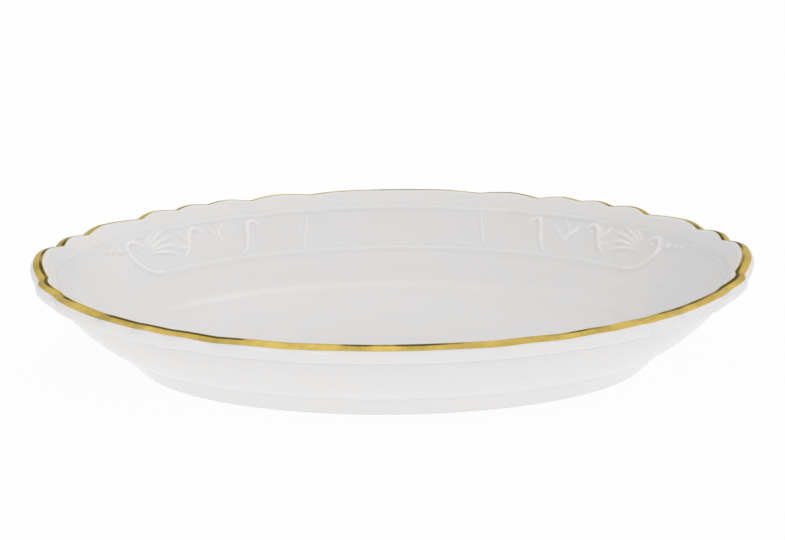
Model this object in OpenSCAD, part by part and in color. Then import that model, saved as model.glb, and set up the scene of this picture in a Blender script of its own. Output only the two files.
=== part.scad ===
// Deep oval serving platter in white porcelain, with a scalloped rim, pressed relief and a gold line.
// The origin is at the middle of the oval on the table. X runs along the oval and Z points up.
// The shell, rings and lines are swept round the oval: a profile point is [inset, height, pull], where
// inset is measured in from the lip and pull says how far the point follows the scallops of the rim.

/* [Overall] */
// Length over the lip
length = 360; // [300:1:440]
// Width over the lip
width = 252; // [205:1:310]
// Height from the table to the crest of the rim, at the sides of the oval
height = 53.5; // [44:0.5:66]

/* [Rim] */
// Distance from the lip in to the crest
crest_inset = 6.2; // [5:0.1:7.5]
// Fall from the crest to the outermost point of the lip
lip_fall = 4.6; // [4:0.1:6]
// Fall from the crest to the crease under the lip
crease_fall = 11.2; // [9:0.1:13]
// Distance from the lip in to the crease under it
crease_inset = 10.8; // [9:0.1:12.5]
// How far the rim rises towards the two ends of the oval
end_rise = 1.5; // [0:0.1:3]
// How much more the very tips of the oval turn up
tip_rise = 2.8; // [0:0.1:4]

/* [Scallops] */
// How far the deepest notch cuts in
notch_depth = 2.8; // [1:0.1:4]
// How far the rim dips at the deepest notch
notch_dip = 1.7; // [0:0.1:2.2]
// Widest sweep of a notch, in degrees to each side
notch_reach = 8; // [5:0.5:12]

/* [Shell] */
// Thickness of the wall, square to its slope
wall = 4.6; // [3.6:0.1:5.6]
// Bulge of the wall between its creases
bulge = 2.3; // [0:0.1:3]
// Thickness of the floor
floor_thick = 5; // [4:0.1:6.2]
// Distance from the lip in to where the floor is flat
floor_inset = 58; // [54:0.5:64]

/* [Foot ring] */
// Distance from the lip in to the crease above the foot
foot_inset = 39.8; // [37:0.1:44]
// Height of the crease above the foot
foot_height = 13; // [11:0.1:15]
// Depth of the recess under the floor
recess = 6; // [5:0.1:7.2]
// Distance from the lip in to the standing edge
stand_inset = 52.3; // [49:0.1:54]
// Width of the standing edge
stand_width = 4; // [3:0.1:5]

/* [Gold line] */
// Width of the gold line, seen from above
gold_width = 4.5; // [3:0.1:5]
// Thickness of the gold line
gold_thick = 0.15; // [0.1:0.01:0.3]

/* [Relief] */
// Width of the bead line under the rim
bead_width = 2.2; // [1.5:0.1:3]
// Height of the bead line
bead_height = 0.6; // [0.3:0.1:1.2]
// Place of the border line, as a share of the way down the wall
border_place = 0.56; // [0.48:0.01:0.62]
// Width of the border line
border_width = 2; // [1.2:0.1:3]
// Height of the border line
border_height = 0.5; // [0.3:0.1:1]
// Height of the tallest scroll
scroll_height = 0.9; // [0.5:0.1:1.5]
// Width of the widest scroll
scroll_width = 4.2; // [2.6:0.1:5]

/* [Hidden] */

PORCELAIN = [0.95, 0.94, 0.93];
GOLD = [0.86, 0.66, 0.18];

// Spacing of the stations round the oval, in degrees of the oval's own angle
STEP = 1.95;
// Where the notches sit in each quarter, in degrees from the end of the oval, and how deep each one is
NOTCHES = [12, 22.5, 38.5, 47.5, 54.5, 63, 74.5];
NOTCH_SHARE = [0.75, 0.9, 1, 0.65, 0.5, 0.8, 0.5];
// How much further each notch sweeps towards the end of the oval than towards its side
NOTCH_SWEEP = [1, 1, 1.6, 1, 1, 1.2, 1];

// How far the upturned tips reach to each side, in degrees of the oval's own angle
TIP_REACH = 15;
// Shares of the pull of the scallops: at the bead line and under the lip
BEAD_PULL = 0.3;
LIP_PULL = 0.9;
// How deep relief is bedded in the wall, so that it follows the facets without a gap
BED = 0.04;

// ---- the rim in plan ----

// Angle folded into the first quarter
function fold(t) = let (m = t - 180 * floor(t / 180)) m > 90 ? 180 - m : m;

// How far notch k sweeps to its two sides: halfway to its neighbour at most, then times NOTCH_SWEEP
function reach(k) =
    let (before = k == 0 ? 2 * NOTCHES[0] : NOTCHES[k] - NOTCHES[k - 1],
         after = k == len(NOTCHES) - 1 ? 2 * (90 - NOTCHES[k]) : NOTCHES[k + 1] - NOTCHES[k])
    [NOTCH_SWEEP[k] * min(notch_reach, before / 2), min(notch_reach, after / 2)];
function notch(k, q) =
    let (away = q - NOTCHES[k], side = reach(k)[away < 0 ? 0 : 1])
    NOTCH_SHARE[k] * pow(max(0, 1 - abs(away) / side), 2);
// Depth of the scallop at an angle, as a share of the deepest notch
function scallop(t) = let (q = fold(t)) max([for (k = [0 : len(NOTCHES) - 1]) notch(k, q)]);

// Stations round the oval, with one at every notch
MARKS = concat([0], NOTCHES, [90]);
QUARTER = [for (k = [0 : len(MARKS) - 2])
    let (span = MARKS[k + 1] - MARKS[k], n = max(3, round(span / STEP)))
    for (i = [0 : n - 1]) MARKS[k] + span * i / n];
HALF = concat(QUARTER, [90], [for (i = [len(QUARTER) - 1 : -1 : 1]) 180 - QUARTER[i]]);
STATIONS = concat(HALF, [for (t = HALF) t + 180]);

// How far the rim stands above its height at the sides of the oval
function rim_rise(t) = end_rise * pow(cos(t), 2) + tip_rise * pow(max(0, 1 - pow(fold(t) / TIP_REACH, 2)), 2);

// A profile point placed at an angle of the oval
function place(t, p) =
    let (s = scallop(t) * p[2], inset = p[0] + s * notch_depth)
    [(length / 2 - inset) * cos(t), (width / 2 - inset) * sin(t), p[1] - s * notch_dip + rim_rise(t) * p[2]];

// ---- the profile ----

CREASE_HIGH = [crease_inset, height - crease_fall];
CREASE_LOW = [foot_inset, foot_height];
SLOPE = CREASE_LOW - CREASE_HIGH;
SLOPE_LENGTH = norm(SLOPE);
// Square to the wall, pointing into the dish
INWARD = [-SLOPE[1], SLOPE[0]] / SLOPE_LENGTH;
FLOOR_TOP = recess + floor_thick;

function outside(u) = CREASE_HIGH + u * SLOPE - 4 * u * (1 - u) * bulge * INWARD;
function inside(u, lift = 0) = outside(u) + (wall + lift) * INWARD;
// Pull of the scallops on the inner wall: none at the border line and below
function wall_pull(u) = BEAD_PULL * max(0, 1 - max(0, u) / border_place);
function with_pull(p, pull) = [p[0], p[1], pull];
function curve(a, b, c, s) = (1 - s) * (1 - s) * a + 2 * s * (1 - s) * b + s * s * c;

// Crown of the lip, from the crest out to the outer edge of the gold
GOLD_SLOPE = 0.3;
CREST = [crest_inset, height];
GOLD_EDGE = [crest_inset - gold_width, height - GOLD_SLOPE * gold_width];
LIP = [0, height - lip_fall];
function crown(s) = curve(CREST, [crest_inset - gold_width / 2, height - 0.1 * gold_width], GOLD_EDGE, s);
CROWN_STEPS = [0, 0.5, 1];

// Shares down the wall where the bead line and the border line start and end
BEAD_SHARE = bead_width / SLOPE_LENGTH;
BEAD_TOP = -0.04;
BEAD_END = BEAD_TOP + BEAD_SHARE;
BORDER_SHARE = border_width / SLOPE_LENGTH;
BORDER_TOP = border_place - BORDER_SHARE / 2;
BORDER_END = border_place + BORDER_SHARE / 2;

// The cove from the foot of the inner wall to the flat floor
COVE_START = 0.8;
COVE_TOP = inside(COVE_START);
COVE_KNEE = [COVE_TOP[0] + (COVE_TOP[1] - FLOOR_TOP) * SLOPE[0] / -SLOPE[1], FLOOR_TOP];
FLOOR_EDGE = [floor_inset, FLOOR_TOP];

// The seat of the foot ring under the shell, from the recess out to the low crease
RECESS_EDGE = [stand_inset + stand_width + 1.5, recess];
function seat(s) = curve(RECESS_EDGE, [stand_inset - 4, recess], CREASE_LOW, s);
SEAT_STEPS = [0, 0.35, 0.7, 1];

BODY_PROFILE = concat(
    [for (s = [0 : 0.25 : 0.75]) with_pull(curve(FLOOR_EDGE, COVE_KNEE, COVE_TOP, s), 0)],
    [with_pull(COVE_TOP, 0)],
    [for (u = [BORDER_END, BORDER_TOP, border_place * 0.62, border_place * 0.32, BEAD_END])
        with_pull(inside(u), wall_pull(u))],
    [with_pull(inside(BEAD_TOP), BEAD_PULL)],
    [with_pull(inside(BEAD_TOP) + [-1.2, 1.2], 0.6)],
    [with_pull(CREST + [3.2, -2.8], 0.85)],
    [with_pull(CREST + [1.2, -0.6], 1)],
    [for (s = CROWN_STEPS) with_pull(crown(s), 1)],
    [with_pull(LIP + [0.35, 2], 1)],
    [with_pull(LIP, 1)],
    [with_pull(LIP + [0.6, -1.7], LIP_PULL)],
    [with_pull(LIP + [2.8, -3.3], LIP_PULL / 2)],
    [with_pull(CREASE_HIGH, 0)],
    [for (u = [0.25 : 0.25 : 0.75]) with_pull(outside(u), 0)],
    [for (s = [1, 0.7, 0.35, 0]) with_pull(seat(s), 0)]);

// ---- solids ----

// Faces of a grid of rows by cols points, whose columns always close and whose rows close on request
function grid_faces(rows, cols, close_rows, close_cols) =
    [for (r = [0 : rows - (close_rows ? 1 : 2)]) for (c = [0 : cols - (close_cols ? 1 : 2)])
        let (s = (r + 1) % rows, d = (c + 1) % cols)
        for (face = [[r * cols + c, r * cols + d, s * cols + d], [r * cols + c, s * cols + d, s * cols + c]])
            face];

// A ring swept round the whole oval from a closed profile
module ring(profile) {
    n = len(STATIONS);
    polyhedron([for (p = profile) for (t = STATIONS) place(t, p)],
               grid_faces(len(profile), n, true, true), convexity = 8);
}

// A strip whose section closes and whose ends are capped: sections is one list of points per section corner
module strip(sections) {
    rows = len(sections);
    cols = len(sections[0]);
    caps = [[for (r = [0 : rows - 1]) r * cols], [for (r = [rows - 1 : -1 : 0]) r * cols + cols - 1]];
    polyhedron([for (row = sections) each row],
               concat(grid_faces(rows, cols, true, false), caps), convexity = 8);
}

module body() {
    rows = len(BODY_PROFILE);
    n = len(STATIONS);
    top_cap = [for (c = [n - 1 : -1 : 0]) c];
    under_cap = [for (c = [0 : n - 1]) (rows - 1) * n + c];
    color(PORCELAIN)
        polyhedron([for (p = BODY_PROFILE) for (t = STATIONS) place(t, p)],
                   concat(grid_faces(rows, n, false, true), [top_cap, under_cap]), convexity = 8);
}

// The foot is swept a little past the table and then ground flat
module foot_ring() {
    GRIND = 1;
    outer = [stand_inset, 0];
    inner = outer + [stand_width, 0];
    face = CREASE_LOW - outer;
    profile = concat(
        [for (s = SEAT_STEPS) with_pull(seat(s), 0)],
        [with_pull(outer + 0.5 * face + [0.7, -0.4], 0)],
        [with_pull(outer + [-0.3, 0.7], 0)],
        [with_pull(outer + [0.5, -GRIND], 0)],
        [with_pull(inner + [-0.5, -GRIND], 0)],
        [with_pull(inner + [0.4, 1], 0)]);
    color(PORCELAIN)
        difference() {
            ring(profile);
            translate([-length / 2, -width / 2, -2 * GRIND]) cube([length, width, 2 * GRIND]);
        }
}

// Half-round line that runs all round, just under the rim
module rim_bead() {
    color(PORCELAIN)
        ring([with_pull(inside(BEAD_END), wall_pull(BEAD_END)),
              with_pull(inside(BEAD_TOP + BEAD_SHARE * 0.8, bead_height * 0.75), BEAD_PULL),
              with_pull(inside(BEAD_TOP + BEAD_SHARE * 0.5, bead_height), BEAD_PULL),
              with_pull(inside(BEAD_TOP + BEAD_SHARE * 0.2, bead_height * 0.75), BEAD_PULL),
              with_pull(inside(BEAD_TOP), BEAD_PULL)]);
}

// Border line at the bottom of the relief, along each long side between the outer scrolls
module side_border() {
    BORDER_START = 36;
    run = [for (t = STATIONS) if (t > BORDER_START && t < 180 - BORDER_START) t];
    corners = [[BORDER_END, 0], [BORDER_END - BORDER_SHARE * 0.15, border_height * 0.8],
               [BORDER_TOP + BORDER_SHARE * 0.35, border_height], [BORDER_TOP, 0]];
    color(PORCELAIN)
        for (side = [0, 180]) rotate([0, 0, side])
            strip([for (k = corners)
                [for (t = run) place(t, with_pull(inside(k[0], k[1]), wall_pull(k[0])))]]);
}

// Thin band of gold on the crown of the lip
module gold_rim_line() {
    low = [for (s = CROWN_STEPS) crown(s)];
    profile = concat(
        [for (s = [0, 0.5, 1]) with_pull(crown(s) + [0, gold_thick], 1)],
        [for (i = [len(low) - 1 : -1 : 0]) with_pull(low[i], 1)]);
    color(GOLD) ring(profile);
}

// ---- the relief cartouche of one quarter ----

// A point on the inner wall: angle of the oval, share from bead line (0) to border line (1), and lift
function on_wall(t, s, lift) =
    let (u = BEAD_TOP + s * (border_place - BEAD_TOP)) place(t, with_pull(inside(u, lift), wall_pull(u)));

// A raised stroke along a path of [angle, share] points, tapered to both ends.
// size is [width, height], both at the middle of the stroke.
module stroke(path, size) {
    n = len(path);
    centre = [for (p = path) on_wall(p[0], p[1], 0)];
    SECTION = [[-0.5, 0], [-0.34, 0.7], [0, 1], [0.34, 0.7], [0.5, 0]];
    function ahead(i) = let (d = centre[min(n - 1, i + 1)] - centre[max(0, i - 1)]) d / norm(d);
    function up(p) = let (d = on_wall(p[0], p[1], 1) - on_wall(p[0], p[1], 0)) d / norm(d);
    function swell(i) = 0.3 + 0.7 * pow(sin(180 * (i + 0.35) / (n - 0.3)), 0.8);
    strip([for (k = SECTION) [for (i = [0 : n - 1])
        let (side = cross(ahead(i), up(path[i])))
        centre[i] + k[0] * size[0] * swell(i) * side + (k[1] * size[1] * swell(i) - BED) * up(path[i])]]);
}

// Strokes of one quarter's relief as [angle, share] points: share runs from the bead line to the border line
OUTER_SCROLL = [[34.6, 0.3], [33.6, 0.19], [32.2, 0.16], [31, 0.22], [30.5, 0.38], [30.8, 0.57], [32, 0.77],
                [34.2, 0.9]];
MIDDLE_SCROLL = [[50.6, 0.28], [49.8, 0.18], [48.5, 0.16], [47.4, 0.27], [46.8, 0.45], [45.9, 0.62],
                 [44.5, 0.74]];
INNER_SCROLL = [[63.1, 0.27], [62.3, 0.18], [61.2, 0.17], [60.5, 0.32], [60, 0.56], [59.1, 0.77],
                [57.9, 0.89]];
SIDE_REED = [[73.1, 0.16], [72.8, 0.36], [72.1, 0.64], [71.3, 0.89]];
SPRIG = [[[55.6, 0.16], [54.5, 0.28], [54.1, 0.43], [55, 0.59]],
         [[52.5, 0.19], [52.9, 0.31], [53.9, 0.43]],
         [[57.3, 0.29], [56.3, 0.43], [55.2, 0.56]]];
SHELL_HUB = [33.6, 0.44];
SHELL_RIBS = 5;
BEADS = 3;

module cartouche() {
    color(PORCELAIN) {
        stroke(OUTER_SCROLL, [scroll_width, scroll_height]);
        stroke(MIDDLE_SCROLL, [scroll_width, scroll_height]);
        stroke(INNER_SCROLL, [scroll_width * 0.85, scroll_height * 0.85]);
        stroke(SIDE_REED, [scroll_width * 0.65, scroll_height * 0.65]);
        for (twig = SPRIG) stroke(twig, [scroll_width * 0.5, scroll_height * 0.5]);
        for (i = [0 : SHELL_RIBS - 1]) shell_rib(-14 + i * 20);
        for (i = [0 : BEADS - 1]) bead(28.3 - 2.2 * i, 0.3 - 0.05 * i, 1 - 0.15 * i);
    }
}

// One rib of the fan-shaped shell, at an angle of the fan
module shell_rib(angle) {
    REACH = [10.2, 0.4];
    stroke([for (f = [0.24, 0.5, 0.78, 1])
        SHELL_HUB + f * [REACH[0] * cos(angle), -REACH[1] * sin(angle + 12 * (1 - f))]],
        [scroll_width * 0.6, scroll_height * 0.85]);
}

// One bead of the row beside the outer scroll
module bead(t, s, share) {
    half = 0.85 * share;
    stroke([[t - half, s], [t - half * 0.4, s], [t + half * 0.4, s], [t + half, s]],
           [scroll_width * share, scroll_height * share]);
}

module cartouche_back_right() { cartouche(); }
module cartouche_back_left() { mirror([1, 0, 0]) cartouche(); }
module cartouche_front_left() { rotate([0, 0, 180]) cartouche(); }
module cartouche_front_right() { mirror([0, 1, 0]) cartouche(); }

body();
foot_ring();
rim_bead();
side_border();
gold_rim_line();
cartouche_back_right();
cartouche_back_left();
cartouche_front_left();
cartouche_front_right();
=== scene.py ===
"""Oval china serving platter with a scalloped rim, pressed relief and a gold line.

Lengths named here are in millimetres and meshes are in metres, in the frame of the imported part.
Each ring of the platter is laid out as rows of points that know their angle of the oval, their
distance in from the lip and their height. One node tree wraps them all onto the scalloped oval.
A second node tree raises the relief of a cartouche from drawn strokes and a fan of ribs.
"""

import math
from functools import partial

import bpy
import numpy as np
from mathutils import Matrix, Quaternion, Vector


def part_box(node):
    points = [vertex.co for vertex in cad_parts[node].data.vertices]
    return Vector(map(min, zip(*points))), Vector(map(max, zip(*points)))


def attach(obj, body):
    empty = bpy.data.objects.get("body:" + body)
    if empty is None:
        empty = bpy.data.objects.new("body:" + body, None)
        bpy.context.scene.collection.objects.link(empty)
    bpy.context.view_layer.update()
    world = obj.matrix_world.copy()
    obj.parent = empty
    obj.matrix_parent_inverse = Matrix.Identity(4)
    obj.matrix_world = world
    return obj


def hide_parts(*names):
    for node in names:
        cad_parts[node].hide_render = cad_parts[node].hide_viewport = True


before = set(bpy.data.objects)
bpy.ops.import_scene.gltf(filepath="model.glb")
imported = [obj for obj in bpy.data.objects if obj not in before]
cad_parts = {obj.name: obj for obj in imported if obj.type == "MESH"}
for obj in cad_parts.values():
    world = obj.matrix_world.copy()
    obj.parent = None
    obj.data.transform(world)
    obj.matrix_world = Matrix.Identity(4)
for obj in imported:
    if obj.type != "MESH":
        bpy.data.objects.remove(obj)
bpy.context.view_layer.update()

MM = 0.001

# ---- sizes ----

body_lo, body_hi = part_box("body")

# How much the lip rises towards the ends of the oval, and again within this many degrees of its tips
END_RISE = 1.5
TIP_RISE = 2.8
TIP_REACH = 15.0
LENGTH = (body_hi.x - body_lo.x) / MM
WIDTH = (body_hi.y - body_lo.y) / MM
HEIGHT = body_hi.z / MM - END_RISE - TIP_RISE
FOOT_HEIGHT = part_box("foot_ring")[1].z / MM
RECESS = body_lo.z / MM

CREST_INSET = 6.2
LIP_FALL = 4.6
CREASE_FALL = 11.2
CREASE_INSET = 10.8
WALL = 4.6
BULGE = 2.3
FLOOR_THICK = 5.0
FLOOR_INSET = 58.0
FOOT_INSET = 39.8
STAND_INSET = 52.3
STAND_WIDTH = 4.0
GOLD_WIDTH = 4.5
GOLD_SLOPE = 0.3
GOLD_LIFT = 0.06
GOLD_WANDER = 0.22

NOTCH_DEPTH = 2.8
NOTCH_DIP = 1.7
NOTCH_REACH = 8.0
NOTCH_SOFTNESS = 0.55
NOTCHES = [12, 22.5, 38.5, 47.5, 54.5, 63, 74.5]
NOTCH_SHARE = [0.75, 0.9, 1, 0.65, 0.5, 0.8, 0.5]
# How much further each notch sweeps towards the end of the oval than towards its side
NOTCH_SWEEP = [1, 1, 1.6, 1, 1, 1.2, 1]
# How softly one notch runs into the next
NOTCH_BLEND = 0.02

BEAD_PULL = 0.3
LIP_PULL = 0.9
BEAD_PLACE = -0.04
BORDER_PLACE = 0.56
COVE_START = 0.8

# Softening of every edge by the glaze, and by grinding on the foot
GLAZE_SOFTNESS = 0.45
FOOT_SOFTNESS = 0.5
# Points round the oval, and how closely a profile is followed
STATIONS = 600
COVE_POINTS = 40
WALL_POINTS = 60
CURVE_POINTS = 12
FINE_STEP = 0.15
PANEL_STEP = 0.42


# ---- the profile, as [inset, height] with a pull that says how far a point follows the scallops ----

def vec(*values):
    """A point or a direction of the profile."""
    return np.array(values, float)


CREASE_HIGH = vec(CREASE_INSET, HEIGHT - CREASE_FALL)
CREASE_LOW = vec(FOOT_INSET, FOOT_HEIGHT)
SLOPE = CREASE_LOW - CREASE_HIGH
SLOPE_LENGTH = float(np.hypot(*SLOPE))
INWARD = vec(-SLOPE[1], SLOPE[0]) / SLOPE_LENGTH
FLOOR_TOP = RECESS + FLOOR_THICK
FLOOR_EDGE = vec(FLOOR_INSET, FLOOR_TOP)
CREST = vec(CREST_INSET, HEIGHT)
GOLD_EDGE = vec(CREST_INSET - GOLD_WIDTH, HEIGHT - GOLD_SLOPE * GOLD_WIDTH)
LIP = vec(0, HEIGHT - LIP_FALL)


def outside(u):
    """A point of the outer wall, from the crease under the lip (0) to the crease over the foot (1)."""
    return CREASE_HIGH + u * SLOPE - 4 * u * (1 - u) * BULGE * INWARD


def inside(u):
    """The point of the inner wall that faces outside(u)."""
    return outside(u) + WALL * INWARD


def wall_pull(u):
    """Pull of the inner wall, which fades out from the bead line down to the border line."""
    return BEAD_PULL * max(0.0, 1 - max(0.0, u) / BORDER_PLACE)


def relief_share(s):
    """Share of the inner wall at a share of the relief, from the bead line (0) to the border line (1)."""
    return BEAD_PLACE + s * (BORDER_PLACE - BEAD_PLACE)


def bend(a, b, c, count):
    """Points of a smooth bend from a to c that is drawn towards b."""
    return [(1 - s) ** 2 * a + 2 * s * (1 - s) * b + s * s * c for s in np.linspace(0, 1, count)]


def through(points, per_span=CURVE_POINTS):
    """Points of a smooth curve that passes through every given point."""
    p = np.array(points, float)
    p = np.vstack([2 * p[0] - p[1], p, 2 * p[-1] - p[-2]])
    made = []
    for k in range(1, len(p) - 2):
        for s in np.linspace(0, 1, per_span, endpoint=False):
            made.append(0.5 * (2 * p[k] + (p[k + 1] - p[k - 1]) * s
                               + (2 * p[k - 1] - 5 * p[k] + 4 * p[k + 1] - p[k + 2]) * s ** 2
                               + (3 * p[k] - p[k - 1] - 3 * p[k + 1] + p[k + 2]) * s ** 3))
    made.append(p[-2])
    return np.array(made)


def along(points):
    """Distance travelled along a run of [inset, height, ...] points."""
    steps = np.hypot(*np.diff(points[:, :2], axis=0).T)
    return np.concatenate([[0], np.cumsum(steps)])


def even(points, step):
    """The same run with points at an even spacing."""
    far = along(points)
    places = np.linspace(0, far[-1], max(2, int(round(far[-1] / step)) + 1))
    return np.array([np.interp(places, far, points[:, k]) for k in range(points.shape[1])]).T


def soften(points, reach, step):
    """The same run with its corners rounded, and its two ends kept."""
    size = int(4 * reach / step)
    weights = np.exp(-0.5 * (np.arange(-size, size + 1) * step / reach) ** 2)
    weights /= weights.sum()
    made = points.copy()
    for k in range(points.shape[1]):
        column = points[:, k]
        before = 2 * column[0] - column[size:0:-1]
        after = 2 * column[-1] - column[-2:-size - 2:-1]
        made[:, k] = np.convolve(np.concatenate([before, column, after]), weights, "valid")
    return made


def thin(points, widest, turn):
    """Indices of the points to keep: closer together where the run turns."""
    far = along(points)
    ahead = np.gradient(points[:, :2], axis=0)
    heading = np.unwrap(np.arctan2(ahead[:, 1], ahead[:, 0]))
    kept = [0]
    for k in range(1, len(points)):
        if far[k] - far[kept[-1]] >= widest or abs(heading[k] - heading[kept[-1]]) >= turn:
            kept.append(k)
    if kept[-1] != len(points) - 1:
        kept.append(len(points) - 1)
    return kept


def with_pull(point, pull, share=0.0):
    """A point of the profile with its pull and its share of the inner wall."""
    return [point[0], point[1], pull, share]


def leans(points):
    """Unit directions square to a run, pointing out of the china."""
    ahead = np.gradient(points[:, :2], axis=0)
    ahead /= np.hypot(*ahead.T)[:, None]
    return np.array([ahead[:, 1], -ahead[:, 0]]).T


# The visible side of the shell from the floor, over the rim and down to the foot. Each row holds inset,
# height, pull and the share of the inner wall, which is 0 at the bead line and grows towards the floor.
SHELL_END = 0.93
KNEE = inside(COVE_START) + vec(1, 0) * (inside(COVE_START)[1] - FLOOR_TOP) * SLOPE[0] / -SLOPE[1]
KNEE[1] = FLOOR_TOP
COVE_END_SHARE = 2
cove_shares = np.linspace(COVE_END_SHARE, COVE_START, COVE_POINTS)
cove = bend(FLOOR_EDGE, KNEE, inside(COVE_START), COVE_POINTS)
run = [with_pull(p, 0, share) for p, share in zip(cove, cove_shares)]
run += [with_pull(inside(u), wall_pull(u), u) for u in np.linspace(COVE_START, BEAD_PLACE, WALL_POINTS)[1:]]
bead_foot = inside(BEAD_PLACE)
# Guide points of the rim as offsets from the bead line, the crest and the lip
rim_inside = through([
    with_pull(inside(BEAD_PLACE + 0.02), BEAD_PULL, BEAD_PLACE + 0.02),
    with_pull(bead_foot + vec(-0.45, 0.35), 0.5, BEAD_PLACE - 0.015),
    with_pull(bead_foot + vec(-1.2, 1.25), 0.6, BEAD_PLACE - 0.04),
    with_pull(CREST + vec(3.4, -3.0), 0.85, BEAD_PLACE - 0.08),
    with_pull(CREST + vec(1.9, -1.15), 0.97, BEAD_PLACE - 0.12),
    with_pull(CREST + vec(0.9, -0.35), 1, BEAD_PLACE - 0.14),
    with_pull(CREST, 1, BEAD_PLACE - 0.17)])
run += [list(p) for p in rim_inside[CURVE_POINTS:]]
lip_round = through([
    with_pull(CREST + vec(0.9, -0.35), 1, -0.2),
    with_pull(CREST, 1, -0.2),
    with_pull(CREST + 0.5 * (GOLD_EDGE - CREST) + vec(0, 0.22), 1, -0.3),
    with_pull(GOLD_EDGE, 1, -0.4),
    with_pull(LIP + vec(0.35, 2), 1, -0.5),
    with_pull(LIP + vec(0.02, 0), 1, -0.5),
    with_pull(LIP + vec(0.8, -1.9), LIP_PULL, -0.5),
    with_pull(LIP + vec(3.4, -3.7), LIP_PULL / 2, -0.5),
    with_pull(CREASE_HIGH, 0, -0.5)])
run += [list(p) for p in lip_round[CURVE_POINTS + 1:]]
run += [with_pull(outside(u), 0, -0.5) for u in np.linspace(0, SHELL_END, WALL_POINTS)[1:]]
SURFACE = soften(even(np.array(run, float), FINE_STEP), GLAZE_SOFTNESS, FINE_STEP)
SURFACE_LEAN = leans(SURFACE)
SURFACE_ALONG = along(SURFACE)
SHARES = SURFACE[:, 3]
RIM_TOP = int(np.argmax(SURFACE[:, 1]))


def surface_at(distance):
    """Inset, height, pull and the two parts of the outward direction at a distance along the surface."""
    values = np.hstack([SURFACE[:, :3], SURFACE_LEAN])
    return np.array([np.interp(distance, SURFACE_ALONG, column) for column in values.T]).T


def distance_of_share(share):
    """Distance along the surface of a share of the inner wall."""
    order = slice(RIM_TOP, None, -1)
    return np.interp(share, SHARES[order], SURFACE_ALONG[order])


# ---- node trees ----

def feed(tree, socket, source):
    """Links a socket to another one, or sets it to a fixed value."""
    if isinstance(source, bpy.types.NodeSocket):
        tree.links.new(source, socket)
    else:
        socket.default_value = source


def place_node(tree, kind, sources=None, **settings):
    """Adds a node. sources maps an input's name or number to a socket or to a fixed value."""
    node = tree.nodes.new(kind)
    for name, value in settings.items():
        setattr(node, name, value)
    for key, source in (sources or {}).items():
        feed(tree, node.inputs[key], source)
    return node


def in_use(sockets, name=None):
    """The first socket that is in use, by name if there are several."""
    return next(s for s in sockets if s.enabled and name in (None, s.name))


def count_on(tree, operation, *values):
    """A math node's result."""
    return place_node(tree, "ShaderNodeMath", dict(enumerate(values)), operation=operation).outputs[0]


def named_value(tree, name):
    """A number that every point knows by name."""
    node = place_node(tree, "GeometryNodeInputNamedAttribute", {"Name": name}, data_type="FLOAT")
    return in_use(node.outputs, "Attribute")


def keep_value(tree, geometry, name, value):
    """Stores a value under a name at every point and hands the geometry on."""
    node = place_node(tree, "GeometryNodeStoreNamedAttribute", {"Geometry": geometry, "Name": name},
                      data_type="FLOAT", domain="POINT")
    feed(tree, in_use(node.inputs, "Value"), value)
    return node.outputs["Geometry"]


def finish_tree(tree, geometry, material, result):
    """Ends a tree: real geometry in the given material."""
    whole = place_node(tree, "GeometryNodeRealizeInstances", {"Geometry": geometry}).outputs[0]
    painted = place_node(tree, "GeometryNodeSetMaterial", {"Geometry": whole, "Material": material})
    tree.links.new(painted.outputs[0], result["Geometry"])


def open_tree(name, offers):
    """A new geometry tree with named inputs. offers maps a name to its socket kind."""
    tree = bpy.data.node_groups.new(name, "GeometryNodeTree")
    tree.interface.new_socket("Geometry", in_out="INPUT", socket_type="NodeSocketGeometry")
    tree.interface.new_socket("Geometry", in_out="OUTPUT", socket_type="NodeSocketGeometry")
    for offer, kind in offers.items():
        tree.interface.new_socket(offer, in_out="INPUT", socket_type=kind)
    start = tree.nodes.new("NodeGroupInput")
    end = tree.nodes.new("NodeGroupOutput")
    return tree, start.outputs, end.inputs


def put(name, data):
    """A new object in the scene."""
    obj = bpy.data.objects.new(name, data)
    bpy.context.scene.collection.objects.link(obj)
    return obj


def grow(name, mesh, tree, values):
    """Runs a tree on a mesh with the given inputs and returns the mesh that it makes."""
    obj = put(name, mesh)
    modifier = obj.modifiers.new("grow", "NODES")
    modifier.node_group = tree
    for item in tree.interface.items_tree:
        if item.item_type == "SOCKET" and item.in_out == "INPUT" and item.name in values:
            modifier[item.identifier] = values[item.name]
    bpy.context.view_layer.update()
    graph = bpy.context.evaluated_depsgraph_get()
    grown = obj.evaluated_get(graph)
    made = bpy.data.meshes.new_from_object(grown, preserve_all_data_layers=True, depsgraph=graph)
    obj.modifiers.clear()
    bpy.data.objects.remove(obj)
    bpy.data.meshes.remove(mesh)
    made.name = name
    return made


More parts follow.
